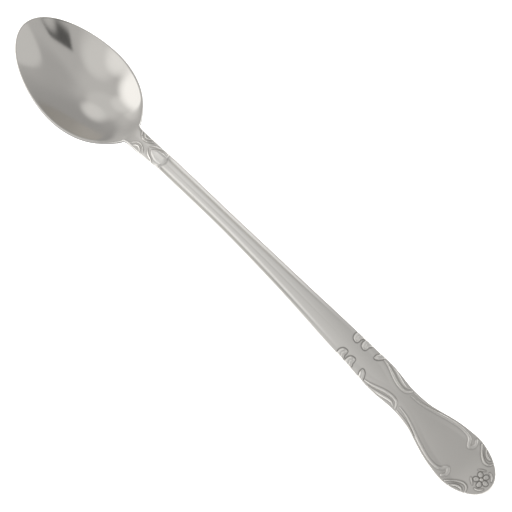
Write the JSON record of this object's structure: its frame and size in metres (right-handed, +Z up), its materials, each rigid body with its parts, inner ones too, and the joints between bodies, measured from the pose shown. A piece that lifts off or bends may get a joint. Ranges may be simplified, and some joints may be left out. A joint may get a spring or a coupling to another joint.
{
  "type": "spoon",
  "caption": "Long-handled iced tea spoon: egg-shaped bowl, arched fluted stem, and a broad handle end with raised scrolls and a small flower",
  "frame": {"origin": "centre of the spoon's footprint, on the table it lies on face up", "axes": "+X runs from the bowl's tip to the handle's end, +Y across the spoon, +Z up out of the hollow of the bowl"},
  "size_m": [0.188, 0.028, 0.0127],
  "materials": {
    "polished_steel": "polished stainless steel",
    "coined_steel": "polished stainless steel, struck relief"
  },
  "bodies": {
    "root": {"bowl": "polished_steel", "neck": "polished_steel", "stem": "polished_steel", "handle": "polished_steel", "neck_panel": "coined_steel", "neck_scrolls": "coined_steel", "leaf_sprigs": "coined_steel", "waist_scrolls": "coined_steel", "border_scrolls": "coined_steel", "tip_scrolls": "coined_steel", "flower": "coined_steel"}
  },
  "joints": []
}
